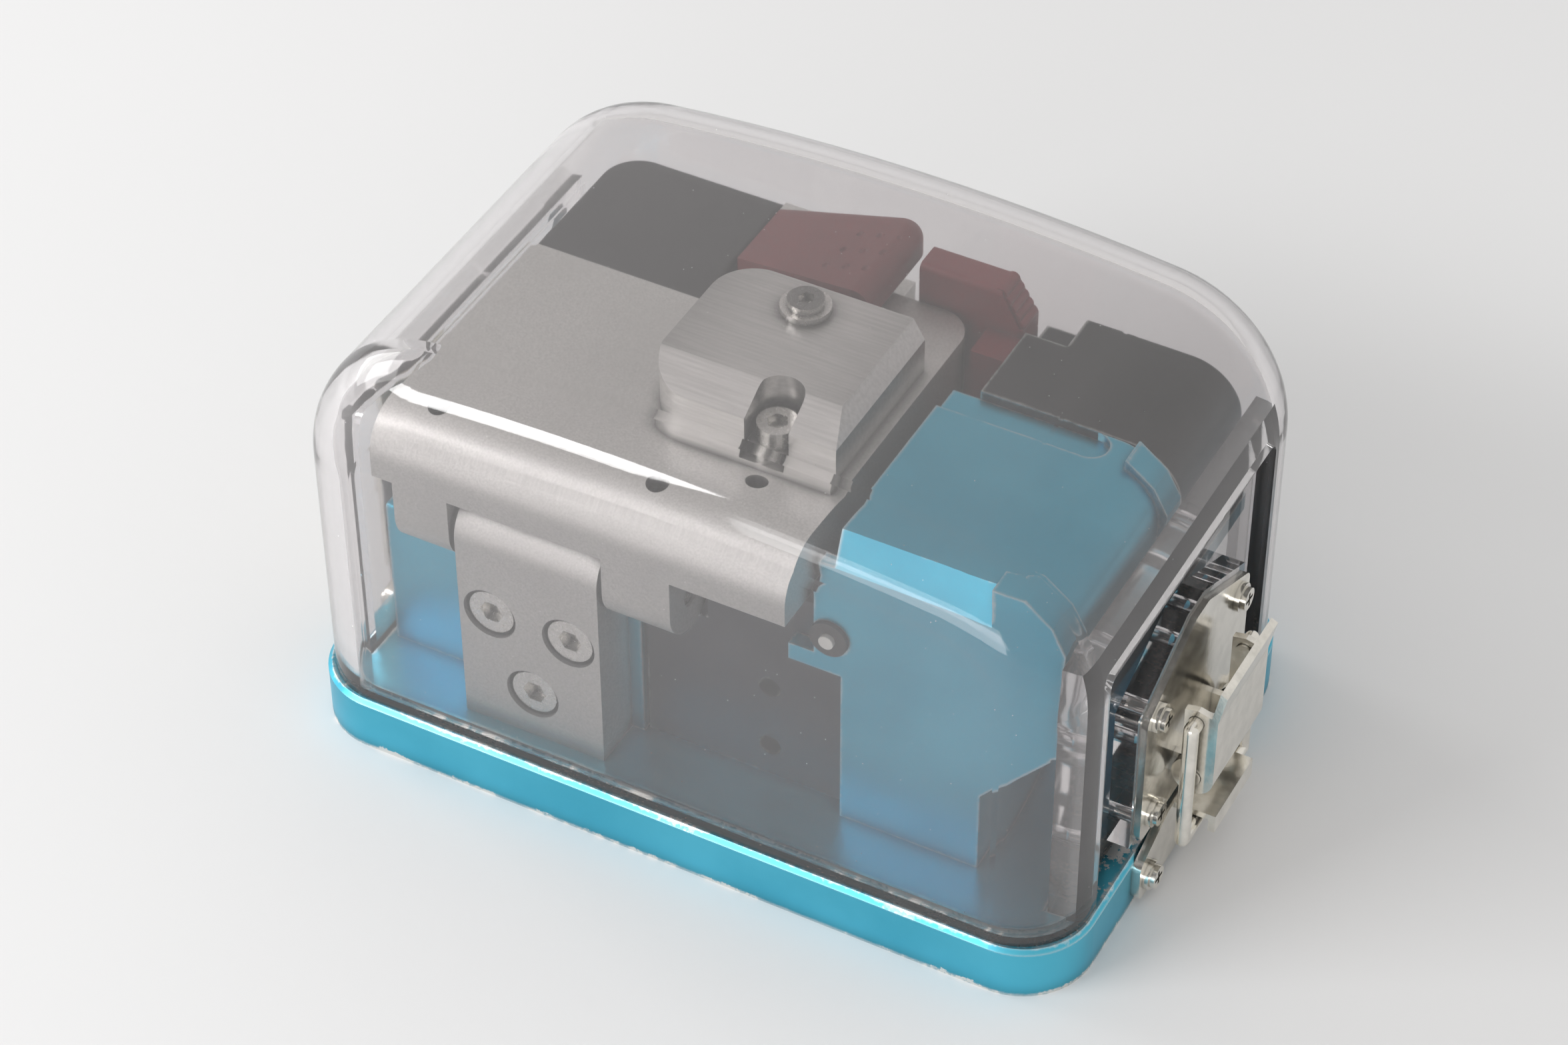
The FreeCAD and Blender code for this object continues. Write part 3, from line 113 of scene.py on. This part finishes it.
floor_mesh = bpy.data.meshes.new("floor")
corners = [(x * FLOOR_REACH, y * FLOOR_REACH, 0) for x, y in ((-1, -1), (1, -1), (1, 1), (-1, 1))]
floor_mesh.from_pydata(corners, [], [(0, 1, 2, 3)])
floor = bpy.data.objects.new("floor", floor_mesh)
bpy.context.scene.collection.objects.link(floor)
print("the floor is", 2 * FLOOR_REACH, "m wide")

# %% [markdown]
# ## Sums that make shaders
# A finish is a small net of nodes.  It could be joined by hand, node by node, but that is
# slow to read.  So a wire out of a node is wrapped in a class that knows plus, minus and
# times.  Then a line such as `1 - scratch * 0.3` makes its own Math nodes.

# %% A wire that can be added up
class Wire:
    def __init__(self, finish, socket):
        self.finish = finish
        self.socket = socket

    def sum(self, operation, first, second):
        return self.finish.node("ShaderNodeMath", {"operation": operation}, {0: first, 1: second})

    def __add__(self, other):
        return self.sum("ADD", self, other)

    def __sub__(self, other):
        return self.sum("SUBTRACT", self, other)

    def __rsub__(self, other):
        return self.sum("SUBTRACT", other, self)

    def __mul__(self, other):
        return self.sum("MULTIPLY", self, other)

    __radd__ = __add__
    __rmul__ = __mul__

    def between(self, low, high):
        """0 below low, 1 above high, and a soft step between them."""
        return self.finish.node("ShaderNodeMapRange", {"interpolation_type": "SMOOTHSTEP"},
                                {"Value": self, "From Min": low, "From Max": high})


print("a wire knows plus, minus, times and between")

# %% [markdown]
# ## A finish and its net
# Every material here is one surface shader with a few nodes before it.  Each node could
# have its own lines, but the same four steps would come back again and again: make it,
# set it, wire it, take its output.  One method does them for any node.  Patterns follow
# the part's own coordinates, in metres, so they stay in place when the part moves.

# %% A finish that holds the net
class Finish:
    def __init__(self, name):
        self.material = bpy.data.materials.new(name)
        self.material.use_nodes = True
        self.tree = self.material.node_tree
        self.tree.nodes.clear()
        self.place = self.node("ShaderNodeTexCoord", out="Object")

    def node(self, kind, settings=None, sockets=None, out=0):
        """Any node: its settings first, then a wire or a value for each socket."""
        made = self.tree.nodes.new(kind)
        for key, setting in (settings or {}).items():
            setattr(made, key, setting)
        for key, given in (sockets or {}).items():
            if isinstance(given, Wire):
                self.tree.links.new(given.socket, made.inputs[key])
            else:
                made.inputs[key].default_value = given
        return Wire(self, made.outputs[out]) if made.outputs else None

    def skin(self, **sockets):
        """The surface shader, which closes the net: a socket's name has _ for a space."""
        given = {key.replace("_", " "): put for key, put in sockets.items()}
        shader = self.node("ShaderNodeBsdfPrincipled", None, given)
        self.node("ShaderNodeOutputMaterial", None, {"Surface": shader})
        print("finish", self.material.name, "has", len(self.tree.nodes), "nodes")
        return self.material


print("a finish makes its nodes by one method")

# %% [markdown]
# ## Paper for the floor
# The floor is a sheet of matt paper.  One flat grey would look like a computer's, and an
# image of real paper would have to be kept beside the script.  So two greys that hardly
# differ are blended by wide, soft noise.

# %% Noise, blending and the floor's finish
EVEN = (1, 1, 1)
MIX_FIRST, MIX_SECOND, MIX_RESULT = 6, 7, 2   # the Mix node's colour sockets have names in common
PAPER_LUMPS = 6


def tone(red, green, blue):
    return (red, green, blue, 1.0)


def noise(finish, lumps, detail=2.0, rough=0.5, stretch=EVEN):
    """Soft lumps, about so many to a metre; less than 1 in stretch draws them out on that axis."""
    place = finish.node("ShaderNodeMapping", None, {"Vector": finish.place, "Scale": stretch})
    return finish.node("ShaderNodeTexNoise", None,
                       {"Vector": place, "Scale": lumps, "Detail": detail, "Roughness": rough})


def blend(finish, amount, first, second):
    """The first colour, going over into the second as the amount goes from 0 to 1."""
    return finish.node("ShaderNodeMix", {"data_type": "RGBA"},
                       {"Factor": amount, MIX_FIRST: first, MIX_SECOND: second}, out=MIX_RESULT)


paper = Finish("floor_paper")
paper_colour = blend(paper, noise(paper, PAPER_LUMPS, 3), tone(0.725, 0.725, 0.73), tone(0.755, 0.755, 0.76))
floor.data.materials.append(paper.skin(Base_Color=paper_colour, Roughness=0.85))

# %% [markdown]
# ## Edges, hollows and relief
# Knocks wear a finish at its edges first, and sockets and seams look darker than open
# faces, as shade that is painted into their colour here.  Both could be painted on part by part.
# Here the shader finds them by itself: a Bevel node rounds the surface's direction near an edge,
# and Ambient Occlusion tells how much of the sky a spot can see.  Relief far finer than the mesh is left to a
# Bump node.

# %% What finds edges and hollows
EDGE_GAIN = 4                        # brings a square edge, where the directions differ by 0.29, to about 1
SHUT_IN, IN_THE_OPEN = 0.25, 0.95    # the share of the sky that a hollow and an open face can see


def edges(finish, width):
    """About 1 on a square edge and 0 on the flat."""
    rounded = finish.node("ShaderNodeBevel", {"samples": 4}, {"Radius": width})
    true = finish.node("ShaderNodeNewGeometry", out="Normal")
    same = finish.node("ShaderNodeVectorMath", {"operation": "DOT_PRODUCT"},
                       {0: rounded, 1: true}, out="Value")
    return (1 - same) * EDGE_GAIN


def hollows(finish, reach):
    """How much painted shade a spot gets: 1 deep in a socket or a seam and 0 in the open, looking as far as
    reach.
    """
    open_sky = finish.node("ShaderNodeAmbientOcclusion", {"samples": 8}, {"Distance": reach}, out="AO")
    return 1 - open_sky.between(SHUT_IN, IN_THE_OPEN)


def bump(finish, height, distance, strength):
    return finish.node("ShaderNodeBump", None, {"Height": height, "Distance": distance, "Strength": strength})


print("a spot counts as a hollow when it sees less than", IN_THE_OPEN, "of the sky")

# %% [markdown]
# ## Anodised aluminium
# The base and the blocks are aluminium with a dyed skin.  It is metal under a thin colour,
# so it could be a coat over bare metal, but one metallic surface with a tinted base colour
# and a satin roughness looks much the same and is simpler.  Knocks chip the dye and leave
# bright metal: the edge finder says where, and two sizes of noise break it up.  The base is
# knocked most, so it also has chips round its foot and its upper rim.  Hollows get painted shade.

# %% Anodised finishes
CLOUDS, GRAINS = 60, 6500            # lumps to a metre of the dye's clouds and of the blasted grain
CHIPS, PATCHES = 1300, 150           # the same for small chips and for the patches that they keep to
DYED, BARE = 0.79, 0.82              # wear up to the first leaves the dye whole, from the second none
EDGE_WIDTH = 0.9 * MM
SEAM_REACH = 3 * MM
GRAIN_RELIEF = 0.02 * MM
FOOT_TOP = 1.6 * MM                  # the band of chips round the foot ends here
RIM_DOWN, RIM_FULL, RIM_EDGE = 1.4 * MM, 0.4 * MM, 0.06 * MM   # the band at the rim, measured down from it


def anodised(name, deep, pale, rough, worn, brush=EVEN, rim_top=0):
    """Dyed metal; worn says how easily its edges chip, and rim_top where a rim's chips end."""
    made = Finish(name)
    cloud = noise(made, CLOUDS, 4)
    grain = noise(made, GRAINS, stretch=brush)
    chips = noise(made, CHIPS, 4, 0.7) * 0.5 + noise(made, PATCHES) * 0.6
    knocked = edges(made, EDGE_WIDTH)
    if rim_top:
        height = made.node("ShaderNodeSeparateXYZ", None, {0: made.place}, out="Z")
        foot = 1 - height.between(0, FOOT_TOP)
        above = height.between(rim_top - RIM_EDGE, rim_top)
        rim = height.between(rim_top - RIM_DOWN, rim_top - RIM_FULL) * (1 - above)
        knocked = knocked + foot * 0.75 + rim * 0.85
    bare = (knocked * worn + chips).between(DYED, BARE)
    colour = blend(made, cloud.between(0.3, 0.7), deep, pale)
    colour = blend(made, grain.between(0.35, 0.75) * 0.15, colour, pale)
    # painted shade: seams and hollows are darkened towards a deep blue-black, standing in for the shadow in
    # them
    colour = blend(made, hollows(made, SEAM_REACH) * 0.6, colour, tone(0.01, 0.05, 0.07))
    colour = blend(made, bare, colour, tone(0.72, 0.72, 0.70))
    return made.skin(Base_Color=colour, Metallic=0.9, Roughness=rough + (grain - 0.5) * 0.06,
                     Normal=bump(made, grain * 0.08 - bare * 0.6, GRAIN_RELIEF, 0.5))


TURQUOISE = anodised("turquoise_anodised", tone(0.045, 0.38, 0.54), tone(0.07, 0.46, 0.63),
                     rough=0.40, worn=0.19)
BASE_TURQUOISE = anodised("turquoise_base", tone(0.07, 0.42, 0.57), tone(0.10, 0.50, 0.66),
                          rough=0.36, worn=0.34, rim_top=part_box("base_plate")[1][2])
DARK = anodised("dark_anodised", tone(0.035, 0.038, 0.045), tone(0.06, 0.062, 0.07),
                rough=0.42, worn=0.10)
BLACK = anodised("black_brushed", tone(0.012, 0.012, 0.013), tone(0.035, 0.035, 0.037),
                 rough=0.45, worn=0.20, brush=(0.04, 1, 1))

# %% [markdown]
# ## Bare metal
# The arm and the bracket are bead blasted, which leaves a fine even frost.  The anvil
# housing is milled, and noise drawn out along one axis gives it the cutter's fine lines.
# Screws, latches and blade are steel, plated, blackened or ground.  Each could have a net
# of its own, but they differ only in colour, gloss and grain, so one recipe takes those.

# %% Bare metal finishes
METAL_CLOUDS, MARKS = 90, 420        # lumps to a metre of the dull clouds and of the handling marks
DULLER = 0.82                        # how much light is left where the metal has dulled


def bare_metal(name, colour, rough, lumps, relief, stretch=EVEN, spread=0.12, reach=2.5 * MM, hollow_shade=0.8):
    """Metal with a grain; spread is how far the gloss varies, reach how wide the painted shade in a hollow
    spreads, and the last argument how dark that painted shade gets.
    """
    made = Finish(name)
    grain = noise(made, lumps, 3, 0.6, stretch)
    cloud = noise(made, METAL_CLOUDS, 3)
    marks = noise(made, MARKS, 5, 0.75).between(0.66, 0.74)
    dull = tone(*(c * DULLER for c in colour[:3]))
    skin = blend(made, grain.between(0.3, 0.7), dull, colour)
    skin = blend(made, cloud.between(0.35, 0.75) * 0.35, skin, dull)
    skin = blend(made, marks * 0.12, skin, tone(0.25, 0.25, 0.25))
    # painted shade: hollows are darkened towards near black, standing in for the shadow in them
    skin = blend(made, hollows(made, reach) * hollow_shade, skin, tone(0.05, 0.048, 0.045))
    return made.skin(Base_Color=skin, Metallic=0.92, Roughness=rough + (grain - 0.5) * spread,
                     Normal=bump(made, grain, relief, 0.6))


BLASTED = bare_metal("bead_blasted", tone(0.79, 0.785, 0.76), rough=0.54, lumps=4200, relief=0.02 * MM)
MILLED = bare_metal("milled", tone(0.80, 0.79, 0.77), rough=0.36, lumps=2600, relief=0.03 * MM,
                    stretch=(0.05, 1, 1), spread=0.2)
BRIGHT = bare_metal("plated_screw", tone(0.70, 0.69, 0.66), rough=0.26, lumps=2500, relief=0.01 * MM,
                    reach=1 * MM)
CHANNEL = bare_metal("slider_metal", tone(0.30, 0.30, 0.31), rough=0.35, lumps=2600, relief=0.02 * MM,
                     stretch=(1, 0.05, 1))
GROUND = bare_metal("ground_steel", tone(0.72, 0.72, 0.73), rough=0.16, lumps=2500, relief=0.01 * MM)
NICKEL = bare_metal("nickel_plate", tone(0.90, 0.87, 0.80), rough=0.17, lumps=500, relief=0.04 * MM,
                    spread=0.1, reach=1 * MM, hollow_shade=0.5)
OXIDE = bare_metal("black_oxide", tone(0.05, 0.05, 0.05), rough=0.35, lumps=2500, relief=0.01 * MM)

# %% [markdown]
# ## Rubber and moulded plastic
# The arm's pad, the bumper and the clamps are rubber, which is matt and swallows light.
# The tab, the knob and the small white stud are moulded in a spark-eroded form, which
# leaves a fine texture and a soft sheen.  A picture of such a texture would do, but noise
# as relief needs no picture, and one recipe serves both because neither is metal.

# %% Soft and moulded finishes
MOULD_CLOUDS = 120                   # lumps to a metre of the slow change between the two colours
SOCKET_REACH = 2 * MM


def moulded(name, deep, pale, rough, lumps, relief):
    """Rubber or plastic with a fine even texture."""
    made = Finish(name)
    grain = noise(made, lumps, 3, 0.6)
    colour = blend(made, noise(made, MOULD_CLOUDS, 3), deep, pale)
    # painted shade: sockets and hollows are darkened towards black, standing in for the shadow in them
    colour = blend(made, hollows(made, SOCKET_REACH) * 0.5, colour, tone(0.004, 0.003, 0.003))
    return made.skin(Base_Color=colour, Roughness=rough + (grain - 0.5) * 0.14,
                     Normal=bump(made, grain, relief, 0.5))


RUBBER = moulded("black_rubber", tone(0.022, 0.022, 0.023), tone(0.04, 0.04, 0.042),
                 rough=0.55, lumps=5000, relief=0.01 * MM)
TAB_RED = moulded("tab_plastic", tone(0.17, 0.02, 0.022), tone(0.24, 0.03, 0.032),
                  rough=0.48, lumps=3000, relief=0.02 * MM)
KNOB_RED = moulded("knob_plastic", tone(0.20, 0.015, 0.02), tone(0.27, 0.024, 0.03),
                   rough=0.42, lumps=3000, relief=0.02 * MM)
WHITE = moulded("white_plastic", tone(0.66, 0.66, 0.62), tone(0.74, 0.74, 0.70),
                rough=0.4, lumps=3000, relief=0.01 * MM)

# %% [markdown]
# ## Smoked clear plastic
# The cover is acrylic with a light grey smoke in it.  It could be faked with a see-through
# veil, but a wall 2.4 mm thick bends what lies behind it, and its rounded edges gather dark
# and bright lines that no veil has.  So light really passes through, and the base colour
# tints it.  A little of the surface stays ordinary plastic, as a milky haze.  Hair scratches,
# smears of a thumb and specks of dust each blur it a little, and the dust greys it too.

# %% Cover finish
ACRYLIC_BENDS = 1.49                 # its index of refraction
HAIRS, SMEARS, DUST = 300, 45, 520   # how many of each to a metre, roughly
HAIR_STRETCH = (1, 0.08, 0.3)
CLEAR_SHARE = 0.95

smoke = Finish("smoked_clear")
hairs = noise(smoke, HAIRS, 6, 0.8, HAIR_STRETCH).between(0.68, 0.76)
smears = noise(smoke, SMEARS, 4, 0.6)
dust = smoke.node("ShaderNodeTexVoronoi", None, {"Vector": smoke.place, "Scale": DUST}, out="Distance")
specks = 1 - dust.between(0.015, 0.05)
smoke_colour = blend(smoke, specks * 0.6, tone(0.88, 0.86, 0.865), tone(0.55, 0.55, 0.55))
SMOKE = smoke.skin(Base_Color=smoke_colour, Roughness=0.02 + smears * 0.05 + hairs * 0.16 + specks * 0.3,
                   IOR=ACRYLIC_BENDS, Transmission_Weight=CLEAR_SHARE)

# %% [markdown]
# ## Dressing the frame
# Each part of the frame takes its finish by name.  A line for every part could do it too,
# but a table is easier to check.  Latches and keepers are nickel, by the start of their
# names, and what is left is screws, pins, rods, the magnet and its striker, all bright.

# %% Give every part its finish
FINISHES = {
    "base_plate": BASE_TURQUOISE, "body_left": TURQUOISE, "body_right": TURQUOISE,
    "centre_block": DARK, "rear_block": BLACK,
    "hinge_bracket": BLASTED, "arm": BLASTED, "anvil_housing": MILLED, "arm_grub_screws": OXIDE,
    "arm_pad": RUBBER, "stop_bumper": RUBBER, "stop_stud": WHITE,
    "lower_clamp_left": RUBBER, "lower_clamp_right": RUBBER,
    "upper_clamp_left": RUBBER, "upper_clamp_right": RUBBER,
    "press_tab": TAB_RED, "slider_knob": KNOB_RED, "slider": CHANNEL,
    "blade_wheel": GROUND, "anvil": GROUND, "cover": SMOKE,
}
for name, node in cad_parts.items():
    finish = FINISHES.get(name)
    if finish is None:
        finish = NICKEL if name.startswith(("latch", "keeper")) else BRIGHT
    for slot in node.material_slots:
        slot.material = finish
print("dressed", len(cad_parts), "parts,", len(FINISHES), "of them by the table")
